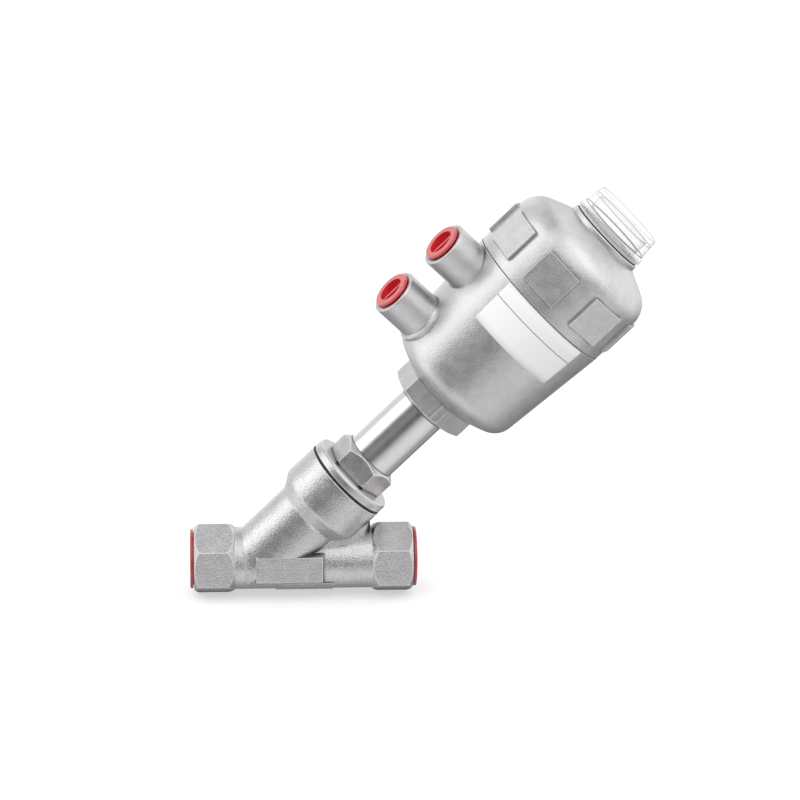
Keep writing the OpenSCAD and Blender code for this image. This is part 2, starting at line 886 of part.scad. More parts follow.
module piston() {
    groove_r = piston_r - 2.6;
    guide_r = piston_r - 1.4;
    hub_r = 9;
    rim_r = piston_r - 4.6;
    color("lightslategray")
        on_branch()
            difference() {
                rotate_extrude()
                    polygon([
                        [0, piston_low], [piston_r - 0.5, piston_low], [piston_r, piston_low + 0.5],
                        [piston_r, piston_seal_low], [groove_r, piston_seal_low],
                        [groove_r, piston_seal_low + piston_seal_h], [piston_r, piston_seal_low + piston_seal_h],
                        [piston_r, guide_ring_low], [guide_r, guide_ring_low],
                        [guide_r, guide_ring_low + guide_ring_h], [piston_r, guide_ring_low + guide_ring_h],
                        [piston_r, piston_top - 0.5], [piston_r - 0.5, piston_top], [rim_r, piston_top],
                        [rim_r, piston_web_top], [hub_r, piston_web_top], [hub_r, piston_top], [0, piston_top]
                    ]);
                rotate_extrude()
                    polygon([
                        [0, piston_low - cut], [stem_top_r + fit, piston_low - cut],
                        [stem_top_r + fit, piston_low + 2], [stem_top_r + 1.5, piston_low + 2],
                        [stem_top_r + 1.5, piston_low + 4], [stem_top_r + fit, piston_low + 4],
                        [stem_top_r + fit, piston_top + cut], [0, piston_top + cut]
                    ]);
            }
}

// Lip seal with its lips towards the pressure below
module piston_seal() {
    inner = piston_r - 2.6 + fit;
    outer = cylinder_d / 2 - fit;
    low = piston_seal_low + fit;
    high = piston_seal_low + piston_seal_h - fit;
    mid = (inner + outer) / 2;
    color("dimgray")
        on_branch()
            rotate_extrude()
                polygon([
                    [inner, low], [inner + 0.5, low], [mid, low + 1.5], [outer - 0.5, low], [outer, low],
                    [outer, low + 1], [outer - 0.3, low + 1.6], [outer - 0.3, high], [inner, high]
                ]);
}

module piston_guide_ring() {
    color("saddlebrown")
        on_branch()
            ring(piston_r - 1.4 + fit, cylinder_d / 2 - fit, guide_ring_low + fit,
                guide_ring_low + guide_ring_h - fit);
}

module piston_static_seal() {
    color("dimgray")
        on_branch()
            o_ring(stem_top_r + 0.77, 0.7, piston_low + 3);
}

module piston_washer() {
    color("lightgray")
        on_branch()
            ring(stem_top_r + fit, piston_washer_d / 2, piston_top, piston_top + nut_washer_th);
}

module piston_nut() {
    low = piston_top + nut_washer_th;
    color("lightgray")
        on_branch()
            difference() {
                hex_block(piston_nut_af, low, low + piston_nut_h, 0, 0.6);
                translate([0, 0, low - cut])
                    cylinder(r = stem_top_r + fit, h = piston_nut_h + 2 * cut);
            }
}

indicator_low = indicator_top - indicator_h;

module indicator_rod() {
    color("gainsboro")
        on_branch()
            rotate_extrude()
                polygon([
                    [0, stem_top - 7.5], [2, stem_top - 7.5], [2, stem_top], [3, stem_top],
                    [3, indicator_low + 3], [2, indicator_low + 3], [2, indicator_top - 2], [0, indicator_top - 2]
                ]);
}

module indicator_cap() {
    color("red")
        on_branch()
            difference() {
                rotate_extrude()
                    polygon(concat(
                        [[0, indicator_low]],
                        [[indicator_r - 0.5, indicator_low], [indicator_r, indicator_low + 0.5]],
                        rounded([indicator_r, indicator_low], [indicator_r, indicator_top],
                            [0, indicator_top], 1.5, 5),
                        [[0, indicator_top]]
                    ));
                translate([0, 0, indicator_low - cut])
                    cylinder(r = 3 + fit, h = 3 + cut);
                translate([0, 0, indicator_low])
                    cylinder(r = 2 + fit, h = indicator_h - 1.8);
            }
}

module main_spring() {
    low = piston_web_top;
    high = spring_seat - cup_th;
    color("silver")
        on_branch()
            translate([0, 0, low])
                coil_spring(spring_mean_d / 2, spring_wire, high - low, spring_turns);
}

// Spring cup: seats the main spring and stops the piston nut at full lift
module spring_cup() {
    outer = spring_mean_d / 2 + spring_wire / 2 + 1.5;
    sleeve_r = 7.8;
    sleeve_low = stem_top + stroke + plug_gap;
    color("lightgray")
        on_branch()
            rotate_extrude()
                polygon([
                    [indicator_r + 0.7, sleeve_low], [sleeve_r, sleeve_low], [sleeve_r, spring_seat - cup_th],
                    [outer, spring_seat - cup_th], [outer, spring_seat], [indicator_r + 0.7, spring_seat]
                ]);
}

cap_seal_wire = 0.9;
cap_seal_at = seam - spigot_len + 2.6;

module upper_cap() {
    inner_r = spigot_r - 3;
    cavity_r = cap_r - cap_wall;
    inner_drop = cap_wall / cos(cone_angle);
    cone_foot = [ring_r, cone_end];
    inner_corner = [cavity_r, shoulder.y - inner_drop + cap_wall * cone_rise];
    seat_on_cone = [spring_seat_r, inner_corner.y + (cavity_r - spring_seat_r) * cone_rise];
    color("silver")
        on_branch(cap_turn)
            difference() {
                union() {
                    rotate_extrude()
                        polygon(concat(
                            [[0, seam - spigot_len], [spigot_r - 0.6, seam - spigot_len],
                                [spigot_r, seam - spigot_len + 0.6], [spigot_r, seam],
                                [cap_r - 0.4, seam], [cap_r, seam + 0.4]],
                            rounded([cap_r, seam], shoulder, cone_foot, cap_round, 10),
                            [cone_foot, [ring_r, ring_top - 0.3], [ring_r - 0.3, ring_top], [0, ring_top]]
                        ));
                    // wrench lands, flat and parallel to the axis
                    for (i = [0:land_count - 1])
                        rotate([0, 0, i * 360 / land_count])
                            translate([cap_r + land_rise - 4, -land_w / 2, seam + land_low])
                                cube([4, land_w, land_len]);
                }
                rotate_extrude()
                    polygon(concat(
                        [[0, seam - spigot_len - cut], [inner_r, seam - spigot_len - cut],
                            [inner_r, seam + 1], [cavity_r, seam + 1 + cavity_r - inner_r]],
                        rounded([cavity_r, seam], inner_corner, seat_on_cone, cap_round - cap_wall, 6),
                        [seat_on_cone, [spring_seat_r, spring_seat], [indicator_r + 0.7, spring_seat],
                            [indicator_r + 0.7, dome_seat], [dome_spigot_r + seat_gap, dome_seat],
                            [dome_spigot_r + seat_gap, ring_top + cut], [0, ring_top + cut]]
                    ));
                ring(spigot_r - 2 * cap_seal_wire + seat_gap, spigot_r + cut, cap_seal_at - 1.1, cap_seal_at + 1.1);
            }
}

module cap_seal() {
    color("dimgray")
        on_branch()
            o_ring(spigot_r - cap_seal_wire + seat_gap - 0.02, cap_seal_wire - 0.01, cap_seal_at);
}

module dome_gasket() {
    color("dimgray")
        on_branch()
            ring(dome_spigot_r + seat_gap, ring_r - 0.9, ring_top, dome_low);
}

module sight_dome() {
    base_r = dome_top_d / 2 + 0.9;
    top_r = dome_top_d / 2;
    color([0.9, 0.95, 1, 0.35])
        on_branch()
            rotate_extrude()
                polygon(concat(
                    [[dome_neck_r, dome_seat + 0.3], [dome_spigot_r, dome_seat + 0.3],
                        [dome_spigot_r, dome_low], [dome_flange_d / 2, dome_low],
                        [dome_flange_d / 2, dome_flange_top - 0.4], [dome_flange_d / 2 - 0.4, dome_flange_top],
                        [base_r, dome_flange_top]],
                    rounded([base_r, dome_flange_top], [top_r, dome_top], [0, dome_top], 0.8, 4),
                    [[0, dome_top], [0, dome_ceiling]],
                    rounded([0, dome_ceiling], [dome_bore_r, dome_ceiling], [dome_bore_r, dome_low], 0.5, 3),
                    [[dome_bore_r, dome_low + 1], [dome_neck_r, dome_low]]
                ));
}

// A hollow plastic plug: flange, short stub and a pull rib across its hollow. +Z leads out.
module port_plug(flange_r, stub_r, stub_len, hollow_r) {
    top = plug_gap + plug_flange_th;
    wall_end = -stub_len;
    plug_floor = 0.9;
    rib_th = 1;
    color("crimson")
        union() {
            rotate_extrude()
                polygon([
                    [0, wall_end], [stub_r - 0.5, wall_end], [stub_r, wall_end + 0.8], [stub_r, plug_gap],
                    [flange_r, plug_gap], [flange_r, top - 0.25], [flange_r - 0.25, top], [hollow_r, top],
                    [hollow_r - 0.3, wall_end + plug_floor], [0, wall_end + plug_floor]
                ]);
            translate([-hollow_r + 0.2, -rib_th / 2, wall_end + plug_floor / 2])
                cube([2 * hollow_r - 0.4, rib_th, stub_len - plug_floor / 2 + plug_gap]);
        }
}

module pipe_plug() {
    port_plug(pipe_plug_d / 2, pipe_entry_d / 2 - plug_gap, pipe_entry_len - plug_gap, pipe_entry_d / 2 - 2.4);
}

module air_plug() {
    port_plug(port_plug_d / 2, port_entry_d / 2 - plug_gap, port_entry_len - plug_gap, port_entry_d / 2 - 1.7);
}

module inlet_plug() {
    along_pipe(inlet_face)
        mirror([0, 0, 1])
            pipe_plug();
}

module outlet_plug() {
    along_pipe(outlet_face)
        pipe_plug();
}

module lower_port_plug() {
    at_port(act_low + port_low)
        translate([0, 0, port_reach])
            air_plug();
}

module upper_port_plug() {
    at_port(act_low + port_low + port_pitch)
        translate([0, 0, port_reach])
            air_plug();
}

valve_body();
body_gasket();
bonnet();
stem_guide();
packing_spring();
packing_washer();
packing_rings();
packing_gland();
neck_tube();
rod_bush();
rod_seals();
swivel_washer();
swivel_nut();
swivel_seal();
lower_housing();
stem();
valve_disc();
disc_seal();
disc_washer();
disc_nut();
piston();
piston_seal();
piston_guide_ring();
piston_static_seal();
piston_washer();
piston_nut();
indicator_rod();
indicator_cap();
main_spring();
spring_cup();
upper_cap();
cap_seal();
dome_gasket();
sight_dome();
inlet_plug();
outlet_plug();
lower_port_plug();
upper_port_plug();
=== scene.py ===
import json
import math
import bpy
import bmesh
from mathutils import Euler, Matrix, Vector


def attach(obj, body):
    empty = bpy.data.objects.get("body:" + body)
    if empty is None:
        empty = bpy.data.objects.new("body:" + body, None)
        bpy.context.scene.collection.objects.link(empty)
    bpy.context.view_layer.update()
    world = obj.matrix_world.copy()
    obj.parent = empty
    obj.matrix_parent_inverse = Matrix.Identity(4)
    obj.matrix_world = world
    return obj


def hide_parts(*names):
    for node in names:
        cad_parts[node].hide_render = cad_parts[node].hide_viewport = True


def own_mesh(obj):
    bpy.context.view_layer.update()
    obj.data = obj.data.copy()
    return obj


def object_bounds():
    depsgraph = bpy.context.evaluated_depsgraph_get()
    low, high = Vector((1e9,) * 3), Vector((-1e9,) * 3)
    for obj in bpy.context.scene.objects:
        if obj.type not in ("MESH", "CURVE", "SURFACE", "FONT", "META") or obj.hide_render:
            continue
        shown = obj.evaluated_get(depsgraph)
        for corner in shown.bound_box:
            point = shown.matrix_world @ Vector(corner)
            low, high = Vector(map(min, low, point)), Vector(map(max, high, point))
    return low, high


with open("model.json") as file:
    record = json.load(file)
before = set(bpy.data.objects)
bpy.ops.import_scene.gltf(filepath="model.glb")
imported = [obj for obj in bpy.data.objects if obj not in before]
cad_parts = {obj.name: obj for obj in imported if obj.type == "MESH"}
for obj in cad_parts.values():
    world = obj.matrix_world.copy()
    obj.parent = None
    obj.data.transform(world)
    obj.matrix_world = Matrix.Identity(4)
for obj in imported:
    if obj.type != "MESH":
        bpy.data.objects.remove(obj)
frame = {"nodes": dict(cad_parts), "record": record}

cadLow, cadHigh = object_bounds()
cadNodes = frame["nodes"]
scene = bpy.context.scene
mm = 0.001

# Where the branch axis meets the pipe axis, and the branch's own directions
branchFoot = Vector((0.0229, 0, 0))
branchUp = Vector((1, 0, 1)).normalized()
branchSide = Vector((1, 0, -1)).normalized()
farSide = Vector((0, 1, 0))


def branchPoint(height, radius, angle):
    # height along the branch and radius in mm, angle in degrees from the lower right side
    turn = math.radians(angle)
    around = branchSide * math.cos(turn) + farSide * math.sin(turn)
    return branchFoot + branchUp * height * mm + around * radius * mm


def addObject(name, mesh):
    made = bpy.data.objects.new(name, mesh)
    scene.collection.objects.link(made)
    return made


# Shader helpers


class Value:
    # One output socket. Arithmetic on it adds Math nodes.
    def __init__(self, graph, socket):
        self.graph = graph
        self.socket = socket

    def math(self, operation, *others, clamp=False):
        settings = {"operation": operation, "use_clamp": clamp}
        return self.graph.node("ShaderNodeMath", settings, (self,) + others)

    def vector(self, operation, other, out=0):
        return self.graph.node("ShaderNodeVectorMath", {"operation": operation}, (self, other), out)

    def __add__(self, other):
        return self.math("ADD", other)

    def __radd__(self, other):
        return self.math("ADD", other)

    def __sub__(self, other):
        return self.math("SUBTRACT", other)

    def __rsub__(self, other):
        return self.graph.node("ShaderNodeMath", {"operation": "SUBTRACT"}, (other, self))

    def __mul__(self, other):
        return self.math("MULTIPLY", other)

    def __rmul__(self, other):
        return self.math("MULTIPLY", other)

    def __truediv__(self, other):
        return self.math("DIVIDE", other)

    def clamped(self):
        return self.math("ADD", 0.0, clamp=True)

    def smooth(self, low, high):
        # 0 below low, 1 above high
        return self.graph.node("ShaderNodeMapRange", {"interpolation_type": "SMOOTHSTEP"},
                               {"Value": self, "From Min": low, "From Max": high})

    def towards(self, direction):
        # how far a vector points along a direction
        return self.vector("DOT_PRODUCT", tuple(direction), "Value")

    def moved(self, offset):
        return self.vector("ADD", tuple(offset))


class Graph:
    # A node tree that is filled from values and links
    def __init__(self, tree):
        self.tree = tree
        self.tree.nodes.clear()

    def node(self, kind, settings=None, inputs=None, out=0):
        made = self.tree.nodes.new(kind)
        for name, value in (settings or {}).items():
            setattr(made, name, value)
        pairs = inputs.items() if isinstance(inputs, dict) else enumerate(inputs or ())
        for name, value in pairs:
            if isinstance(value, Value):
                self.tree.links.new(value.socket, made.inputs[name])
            else:
                made.inputs[name].default_value = value
        return Value(self, made.outputs[out]) if len(made.outputs) else None

    def place(self):
        return self.node("ShaderNodeTexCoord", out="Object")

    def noise(self, vector, scale, detail=2.0, roughness=0.5):
        return self.node("ShaderNodeTexNoise", {"noise_dimensions": "3D"},
                         {"Vector": vector, "Scale": scale, "Detail": detail, "Roughness": roughness})

    def mixColour(self, factor, first, second):
        # sockets 0, 6 and 7 are the factor and the two colours, and output 2 is the colour
        return self.node("ShaderNodeMix", {"data_type": "RGBA"}, {0: factor, 6: first, 7: second}, 2)

    def roundedNormal(self, radius):
        return self.node("ShaderNodeBevel", {"samples": 6}, {"Radius": radius * mm})

    def openness(self, distance, ownShade=False):
        # 1 in the open, less in corners and grooves
        return self.node("ShaderNodeAmbientOcclusion", {"samples": 8, "only_local": ownShade},
                         {"Distance": distance * mm}, "AO")

    def bump(self, height, normal):
        return self.node("ShaderNodeBump", None, {
            "Strength": 1.0, "Distance": mm, "Height": height, "Normal": normal})

    def principled(self, inputs):
        return self.node("ShaderNodeBsdfPrincipled", None, inputs)


def newMaterial(name):
    material = bpy.data.materials.new(name)
    material.use_nodes = True
    return material, Graph(material.node_tree)


def finishMaterial(graph, shader):
    graph.node("ShaderNodeOutputMaterial", None, {"Surface": shader})


def grey(level, pink=0.0):
    return (level * (1 + pink), level, level * (1 + pink), 1)


# Threads: ridges on the walls of the tapped holes, each hole starting at its mount

mounts = {mount["name"]: mount for mount in frame["record"]["mounts"]}
pipeThread = {"radius": 9.3, "pitch": 1.814, "length": (0.5, 13), "across": farSide}
portThread = {"radius": 5.72, "pitch": 1.337, "length": (-0.3, 9), "across": branchUp}
threadLook = {"depth": 0.7, "wallSpan": (0.05, 0.1), "endFade": 0.5}


def boreThread(mountName, thread):
    mount = mounts[mountName]
    return {**thread, "start": Vector(mount["pos_m"]), "axis": -Vector(mount["axis"])}


def threadMarks(graph, place, bore):
    # the ridges as a height, 0 away from the hole's wall
    upright = bore["axis"].cross(bore["across"])
    inside = place.moved(-bore["start"])
    along = inside.towards(bore["axis"])
    first, second = inside.towards(bore["across"]), inside.towards(upright)
    radius = (first * first + second * second).math("SQRT")
    turn = first.math("ARCTAN2", second) / (2 * math.pi)
    wave = (along / (bore["pitch"] * mm) + turn).math("FRACT")
    ridge = (wave - 0.5).math("ABSOLUTE") * 2
    wallLow, wallHigh = [(bore["radius"] + past) * mm for past in threadLook["wallSpan"]]
    onWall = 1 - radius.smooth(wallLow, wallHigh)
    low, high = [end * mm for end in bore["length"]]
    fade = threadLook["endFade"] * mm
    inLength = along.smooth(low, low + fade) * (1 - along.smooth(high - fade, high))
    return ridge * onWall * inLength * threadLook["depth"]


pipeThreads = [boreThread("inlet_port", pipeThread), boreThread("outlet_port", pipeThread)]
portThreads = [boreThread("lower_air_port", portThread), boreThread("upper_air_port", portThread)]

# Metals: lumps are the waves of a casting, grain its fine skin and pits its dark specks.
# A painted highlight makes the open edges bright from every side: there the colour turns pale and the
# metallic shine is taken away.
# Heights and edge radii are in mm, scales are per metre.

# The darkest colour is painted shade for corners and grooves, and also the colour of the real pits.
castLook = {
    "dark": grey(0.6, 0.02), "light": grey(0.67, 0.015), "paintedHighlight": grey(0.97), "corner": grey(0.08),
    "rough": 0.3, "roughSpread": 0.06, "edge": 0.4, "highlightMatte": 0.7, "shade": 1.4, "ownShade": False,
    "lumpScale": 800.0, "lumpHeight": 0.1, "grainScale": 1700.0, "grainHeight": 0.03,
    "blotchScale": 240.0, "pits": 0.0, "bores": ()}
turnedLook = {**castLook, "rough": 0.28, "edge": 0.2, "lumpHeight": 0.0, "grainHeight": 0.006}

metalLooks = {
    "cast_body": {**castLook, "rough": 0.21, "edge": 0.6, "highlightMatte": 0.9, "shade": 5.0,
                  "lumpHeight": 0.06, "grainHeight": 0.15, "pits": 0.17, "bores": pipeThreads},
    "cast_housing": {**castLook, "rough": 0.31, "lumpHeight": 0.03, "grainHeight": 0.1, "pits": 0.1,
                     "bores": portThreads},
    "cast_cap": {**castLook, "rough": 0.31, "edge": 0.5, "highlightMatte": 0.9, "ownShade": True,
                 "lumpHeight": 0.03, "grainHeight": 0.1, "pits": 0.1},
    "bonnet_steel": {**castLook, "dark": grey(0.56, 0.02), "light": grey(0.63, 0.015), "rough": 0.26,
                     "edge": 0.6, "highlightMatte": 1.0, "lumpHeight": 0.03, "grainHeight": 0.04, "pits": 0.08},
    "polished_tube": {**turnedLook, "dark": grey(0.72), "light": grey(0.76), "rough": 0.12,
                      "roughSpread": 0.03, "highlightMatte": 0.0, "grainHeight": 0.002},
    "stem_steel": {**turnedLook, "dark": grey(0.66), "light": grey(0.7), "rough": 0.15,
                   "grainHeight": 0.002},
    "plain_steel": turnedLook,
    "spring_steel": {**turnedLook, "dark": grey(0.38), "light": grey(0.46), "rough": 0.3, "edge": 0.4},
    "piston_alloy": {**turnedLook, "dark": grey(0.58), "light": grey(0.64), "rough": 0.3, "edge": 0.3},
    "bearing_bronze": {**turnedLook, "dark": (0.50, 0.33, 0.14, 1), "light": (0.62, 0.42, 0.19, 1),
                       "rough": 0.3},
}

# Where each effect starts and is full: on the noises, on the turn of the normal and on the openness
metalSpans = {"blotch": (0.3, 0.7), "pits": (0.35, 0.6), "turned": (0.01, 0.09), "edgeOpen": (0.8, 1.0),
              "cornerOpen": (0.42, 0.92)}


def metalMaterial(name, look):
    material, graph = newMaterial(name)
    place = graph.place()
    lumps = graph.noise(place, look["lumpScale"])
    grain = graph.noise(place, look["grainScale"])
    blotch = graph.noise(place, look["blotchScale"], 3.0, 0.55).smooth(*metalSpans["blotch"])
    edges = graph.roundedNormal(look["edge"])
    flat = graph.node("ShaderNodeNewGeometry", out="Normal")
    turned = 1 - edges.vector("DOT_PRODUCT", flat, "Value")
    openness = graph.openness(look["shade"], look["ownShade"])
    # painted highlight: the open, rounded edges turn pale and lose their metallic shine
    paintedHighlight = turned.smooth(*metalSpans["turned"]) * openness.smooth(*metalSpans["edgeOpen"])
    pits = (1 - grain.smooth(*metalSpans["pits"])) * look["pits"]
    colour = graph.mixColour(blotch, look["dark"], look["light"])
    # the pits are real dark specks and take the painted shade's colour
    colour = graph.mixColour(pits, colour, look["corner"])
    colour = graph.mixColour(paintedHighlight, colour, look["paintedHighlight"])
    # painted shade: corners and grooves darken towards the darkest colour
    colour = graph.mixColour(openness.smooth(*metalSpans["cornerOpen"]), look["corner"], colour)
    height = lumps * look["lumpHeight"] + grain * look["grainHeight"]
    for bore in look["bores"]:
        height = height + threadMarks(graph, place, bore)
    finishMaterial(graph, graph.principled({
        "Base Color": colour, "Metallic": 1 - paintedHighlight * look["highlightMatte"],
        "Roughness": blotch * look["roughSpread"] + look["rough"], "Normal": graph.bump(height, edges)}))
    return material


# Plastics, rubbers and seals. Below footTop, a height up the branch in mm, a piece has its foot colour.

# The darkest colour is painted shade for corners and grooves.
plasticLook = {
    "corner": grey(0.02), "rough": 0.5, "ior": 1.5, "gloss": 0.0, "glossRough": 0.15, "glow": 0.0,
    "glowDepth": 2.0, "edge": 0.1, "shade": 0.6, "grainScale": 900.0, "grainHeight": 0.005,
    "blotchScale": 120.0}
plugLook = {**plasticLook, "edge": 0.25}

plasticLooks = {
    "black_gasket": {**plasticLook, "dark": grey(0.012), "light": grey(0.02), "rough": 0.6},
    "dark_rubber": {**plasticLook, "dark": grey(0.02), "light": grey(0.03), "rough": 0.55},
    "white_ptfe": {**plasticLook, "dark": grey(0.72), "light": grey(0.78), "corner": grey(0.12)},
    "dome_joint": {**plasticLook, "dark": grey(0.72), "light": grey(0.78), "corner": grey(0.5),
                   "footTop": 183.9, "foot": grey(0.012)},
    "guide_band": {**plasticLook, "dark": (0.16, 0.08, 0.035, 1), "light": (0.2, 0.1, 0.045, 1)},
    "indicator_red": {**plasticLook, "dark": (0.5, 0.008, 0.01, 1), "light": (0.56, 0.01, 0.012, 1),
                      "rough": 0.3, "edge": 0.2, "corner": (0.2, 0.004, 0.004, 1)},
    "plug_red": {**plugLook, "dark": (0.6, 0.018, 0.03, 1), "light": (0.68, 0.024, 0.038, 1),
                 "rough": 0.27, "glow": 0.15, "gloss": 1.0, "ior": 1.7,
                 "corner": (0.25, 0.004, 0.008, 1)},
    # the pipe plugs are the same red plastic as the port plugs, painted darker as shade
    "plug_red_shaded": {**plugLook, "dark": (0.4, 0.016, 0.022, 1), "light": (0.46, 0.022, 0.03, 1),
                      "rough": 0.35, "glow": 0.1, "gloss": 0.6, "ior": 1.6,
                      "corner": (0.2, 0.004, 0.006, 1)},
}
plasticSpans = {"blotch": (0.3, 0.7), "cornerOpen": (0.3, 0.8), "footFade": 0.05}


def plasticMaterial(name, look):
    material, graph = newMaterial(name)
    place = graph.place()
    grain = graph.noise(place, look["grainScale"])
    blotch = graph.noise(place, look["blotchScale"], 3.0).smooth(*plasticSpans["blotch"])
    openness = graph.openness(look["shade"])
    colour = graph.mixColour(blotch, look["dark"], look["light"])
    # painted shade: corners and grooves darken towards the darkest colour
    colour = graph.mixColour(openness.smooth(*plasticSpans["cornerOpen"]), look["corner"], colour)
    if "footTop" in look:
        height = place.moved(-branchFoot).towards(branchUp) / mm
        fade = plasticSpans["footFade"]
        above = height.smooth(look["footTop"] - fade, look["footTop"] + fade)
        colour = graph.mixColour(above, look["foot"], colour)
    normal = graph.bump(grain * look["grainHeight"], graph.roundedNormal(look["edge"]))
    finishMaterial(graph, graph.principled({
        "Base Color": colour, "Roughness": look["rough"], "Normal": normal, "IOR": look["ior"],
        "Coat Weight": look["gloss"], "Coat Roughness": look["glossRough"],
        "Subsurface Weight": look["glow"], "Subsurface Scale": look["glowDepth"] * mm}))
    return material


# Sight dome: clear plastic with painted shade along its rims and towards its outline. A rim has a height up
# the branch and a half width in mm, and a strength. Below spigotTop the dome sits in the cap and looks
# milky.

domeLook = {
    "colour": grey(0.99), "shadeLineColour": grey(0.05), "edgeSpan": (0.74, 1.0), "edgeShare": 0.8,
    "endSpan": (0.4, 0.8), "rough": 0.05, "ior": 1.45, "shine": 0.1, "shineEdge": 0.3,
    "shineSpan": (0.3, 1.0), "spigotTop": 184.4, "spigotFade": 0.1, "spigotShine": 0.45, "rimFade": 0.06,
    "shadeLines": ((184.72, 0.18, 0.5), (187.38, 0.2, 0.75), (192.1, 0.17, 0.55), (194.95, 0.17, 0.5))}


def clearMaterial(name, look):
    material, graph = newMaterial(name)
    facing = graph.node("ShaderNodeLayerWeight", None, {"Blend": 0.5}, "Facing")
    height = graph.place().moved(-branchFoot).towards(branchUp) / mm
    # painted shade: the round walls darken towards their outline, the flat ends stay clear
    endFace = graph.node("ShaderNodeNewGeometry", out="Normal").towards(branchUp).math("ABSOLUTE")
    shadeLines = facing.smooth(*look["edgeSpan"]) * (1 - endFace.smooth(*look["endSpan"])) * look["edgeShare"]
    # painted shade lines along the rims
    for rimHeight, halfWidth, strength in look["shadeLines"]:
        away = (height - rimHeight).math("ABSOLUTE")
        beside = away.smooth(halfWidth - look["rimFade"], halfWidth + look["rimFade"])
        shadeLines = shadeLines + (1 - beside) * strength
    spigotTop, spigotFade = look["spigotTop"], look["spigotFade"]
    spigot = 1 - height.smooth(spigotTop - spigotFade, spigotTop + spigotFade)
    gleam = facing.smooth(*look["shineSpan"]) * look["shineEdge"]
    share = gleam + spigot * look["spigotShine"] + look["shine"] + shadeLines
    through = graph.node("ShaderNodeBsdfTransparent", None, {"Color": look["colour"]})
    shine = graph.principled({
        "Base Color": graph.mixColour(shadeLines.clamped(), look["colour"], look["shadeLineColour"]),
        "Roughness": look["rough"], "IOR": look["ior"]})
    finishMaterial(graph, graph.node("ShaderNodeMixShader", None, (share.clamped(), through, shine)))
    return material


finishes = {name: metalMaterial(name, look) for name, look in metalLooks.items()}
finishes.update({name: plasticMaterial(name, look) for name, look in plasticLooks.items()})
finishes["clear_dome"] = clearMaterial("clear_dome", domeLook)
print("materials made:", len(finishes))

# CAD nodes: each wears the finish of its slot, four of them a finish of their own; the pipe plugs wear the
# plug red painted darker as shade
finishOfNode = {part["node"]: part["material_slot"] for part in frame["record"]["subparts"]}
finishOfNode.update({"upper_cap": "cast_cap", "dome_gasket": "dome_joint",
                     "inlet_plug": "plug_red_shaded", "outlet_plug": "plug_red_shaded"})
for name, node in cadNodes.items():
    node.data.materials.clear()
    node.data.materials.append(finishes[finishOfNode[name]])
print("CAD nodes finished:", len(cadNodes))

# Label: blank white film with one fine ruled line, bent round the housing's cone.
# Heights and radii are in mm, left and right in degrees, lineAt is a share of the label's height.

labelLook = {
    "low": 129.7, "high": 148.2, "left": -129.5, "right": -53.3, "lowRadius": 30.1, "highRadius": 31.34,
    "lift": 0.1, "thickness": 0.08, "columns": 48, "rows": 6, "colour": grey(0.88, 0.02),
    "ink": grey(0.2), "lineAt": 0.655, "lineSpan": (0.006, 0.012), "rough": 0.45}


def labelMaterial(look):
    material, graph = newMaterial("label_film")
    height = graph.node("ShaderNodeTexCoord", out="UV").towards((0, 1, 0))
    besideLine = (height - look["lineAt"]).math("ABSOLUTE").smooth(*look["lineSpan"])
    colour = graph.mixColour(besideLine, look["ink"], look["colour"])
    finishMaterial(graph, graph.principled({"Base Color": colour, "Roughness": look["rough"]}))
    return material


def between(low, high, share):
    return low + share * (high - low)


labelMesh = bpy.data.meshes.new("label")
shape = bmesh.new()
bmesh.ops.create_grid(shape, x_segments=labelLook["columns"], y_segments=labelLook["rows"], size=0.5)
uvLayer = shape.loops.layers.uv.new("place")
for face in shape.faces:
    face.smooth = True
    for corner in face.loops:
        corner[uvLayer].uv = (corner.vert.co.x + 0.5, corner.vert.co.y + 0.5)
for point in shape.verts:
    across, up = point.co.x + 0.5, point.co.y + 0.5
    point.co = branchPoint(between(labelLook["low"], labelLook["high"], up),
                           between(labelLook["lowRadius"], labelLook["highRadius"], up) + labelLook["lift"],
                           between(labelLook["left"], labelLook["right"], across))
shape.to_mesh(labelMesh)
shape.free()
labelMesh.materials.append(labelMaterial(labelLook))
label = addObject("label", labelMesh)
film = label.modifiers.new("thickness", "SOLIDIFY")
film.thickness = labelLook["thickness"] * mm
film.offset = -1
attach(label, "actuator")
print("label ready")

# Main spring: a copy stands for the CAD node and rides on the actuator. The spring shortens as the stem
# lifts; nothing here shortens this copy.

springLook = {"finish": "spring_steel", "weld": 0.001}
springMesh = bpy.data.meshes.new("main_spring_coil")
shape = bmesh.new()
shape.from_mesh(cadNodes["main_spring"].data)
bmesh.ops.remove_doubles(shape, verts=shape.verts, dist=springLook["weld"] * mm)
for face in shape.faces:
    face.smooth = True
shape.to_mesh(springMesh)
shape.free()
springMesh.materials.append(finishes[springLook["finish"]])
springCoil = addObject("main_spring_coil", springMesh)
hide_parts("main_spring")
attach(springCoil, "actuator")
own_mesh(springCoil)

# Camera, at the photograph's viewing angle: place in metres, turn in degrees about x, y and z

cameraView = {"place": (0.00518, -0.96497, 0.40465), "turn": (70.6338, -0.8532, -3.8626),
              "lens": 120.456, "near": 0.01, "far": 20}
cameraData = bpy.data.cameras.new("camera")
cameraData.lens = cameraView["lens"]
cameraData.sensor_width = 36
cameraData.clip_start = cameraView["near"]
cameraData.clip_end = cameraView["far"]
camera = addObject("camera", cameraData)
cameraTurn = Euler([math.radians(angle) for angle in cameraView["turn"]])
camera.matrix_world = Matrix.Translation(cameraView["place"]) @ cameraTurn.to_matrix().to_4x4()
scene.camera = camera
scene.view_settings.view_transform = "Standard"

# Lamps: only the surfaces see them, no mirror image of a lamp shows in the steel

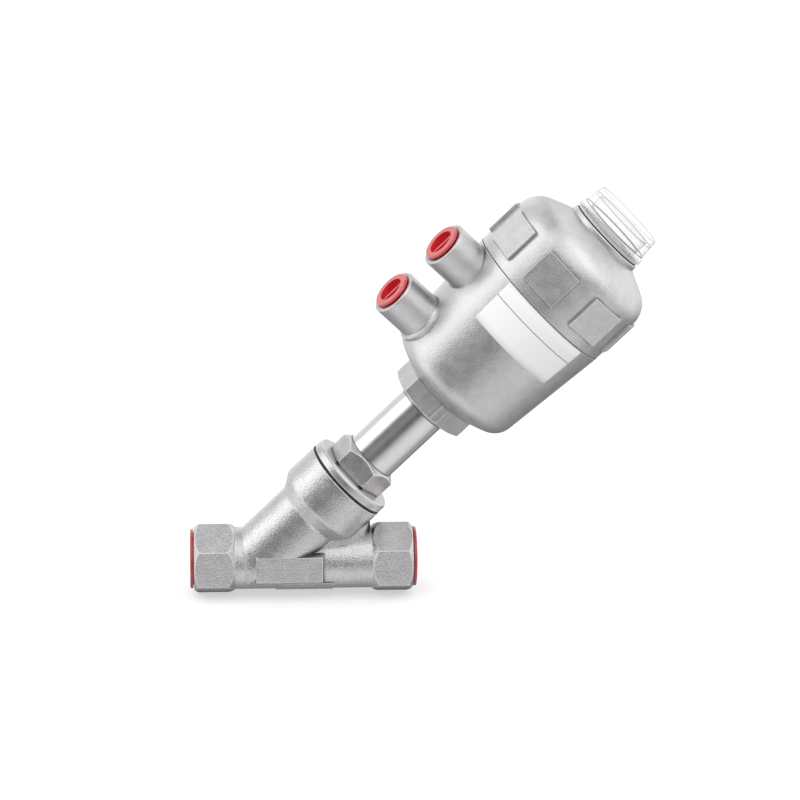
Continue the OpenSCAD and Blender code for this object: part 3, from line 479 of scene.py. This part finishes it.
lampLooks = {
    "key": {"place": (-0.75, -0.35, 0.6), "aim": (0.06, 0, 0.06), "size": 0.35, "power": 0.25},
    "fill": {"place": (-0.4, -0.9, 0.7), "aim": (0.06, 0, 0.06), "size": 0.6, "power": 2.2},
}
for name, look in lampLooks.items():
    lampData = bpy.data.lights.new(name, "AREA")
    lampData.shape = "SQUARE"
    lampData.size = look["size"]
    lampData.energy = look["power"]
    lamp = addObject(name, lampData)
    lamp.visible_glossy = False
    lamp.location = look["place"]
    lamp.rotation_euler = (Vector(look["aim"]) - lamp.location).to_track_quat("-Z", "Y").to_euler()

# The room is an even grey with soft bright walls and a few soft dark ones. A wall lies towards a
# direction, starts and is full at the two values of edge, and adds its level to the room's.

roomLook = {"base": 0.51, "least": 0.03}
roomWalls = {
    "upperLeft": {"towards": (-0.78, -0.05, 0.62), "edge": (0.83, 0.98), "level": 1.0},
    "viewer": {"towards": (-0.5, -0.86, 0.1), "edge": (0.8, 1.0), "level": -0.58},
    "right": {"towards": (0.92, 0.12, 0.33), "edge": (0.35, 0.84), "level": 0.98},
    "aboveFront": {"towards": (0.13, -0.64, 0.76), "edge": (0.54, 0.95), "level": 1.0},
    "backLeft": {"towards": (-0.76, 0.56, 0.34), "edge": (0.47, 0.61), "level": 0.58},
    "lowFront": {"towards": (0.27, -0.58, -0.77), "edge": (0.67, 1.0), "level": 0.6},
    "lowBack": {"towards": (0.27, 0.74, -0.62), "edge": (0.9, 1.0), "level": -0.2},
    "lowLeft": {"towards": (-0.75, -0.52, -0.41), "edge": (0.64, 0.79), "level": 0.5},
    "behind": {"towards": (0.13, 0.98, 0.06), "edge": (0.72, 1.0), "level": 0.5},
    "left": {"towards": (-1.0, 0.1, 0.02), "edge": (0.84, 1.0), "level": 0.35},
}
world = bpy.data.worlds.new("studio")
scene.world = world
world.use_nodes = True
sky = Graph(world.node_tree)
direction = sky.node("ShaderNodeTexCoord", out="Generated")
level = roomLook["base"]
for wall in roomWalls.values():
    share = direction.towards(Vector(wall["towards"]).normalized()).smooth(*wall["edge"])
    level = share * wall["level"] + level
room = sky.node("ShaderNodeBackground", None, {"Strength": level.math("MAXIMUM", roomLook["least"])})
plain = sky.node("ShaderNodeBackground", None, {"Strength": 1.0, "Color": (1, 1, 1, 1)})
seen = sky.node("ShaderNodeLightPath", out="Is Camera Ray")
through = sky.node("ShaderNodeLightPath", out="Is Transmission Ray")
mixed = sky.node("ShaderNodeMixShader", None, ((seen + through).clamped(), room, plain))
sky.node("ShaderNodeOutputWorld", None, {"Surface": mixed})

# Floor: pale, just below the valve, it takes the shadow and isn't mirrored in the steel

floorLook = {"size": 3.0, "drop": 0.1, "colour": grey(0.55), "rough": 0.9, "glow": 0.5}
floorMesh = bpy.data.meshes.new("floor")
shape = bmesh.new()
bmesh.ops.create_grid(shape, x_segments=1, y_segments=1, size=floorLook["size"] / 2)
bmesh.ops.translate(shape, verts=shape.verts, vec=(0, 0, cadLow[2] - floorLook["drop"] * mm))
shape.to_mesh(floorMesh)
shape.free()
floorMaterial, graph = newMaterial("pale_floor")
finishMaterial(graph, graph.principled({
    "Base Color": floorLook["colour"], "Roughness": floorLook["rough"], "Emission Color": (1, 1, 1, 1),
    "Emission Strength": floorLook["glow"]}))
floorMesh.materials.append(floorMaterial)
floor = addObject("floor", floorMesh)
floor.visible_glossy = False
floor.visible_diffuse = False
floor.visible_transmission = False
print("camera, lights and floor ready")
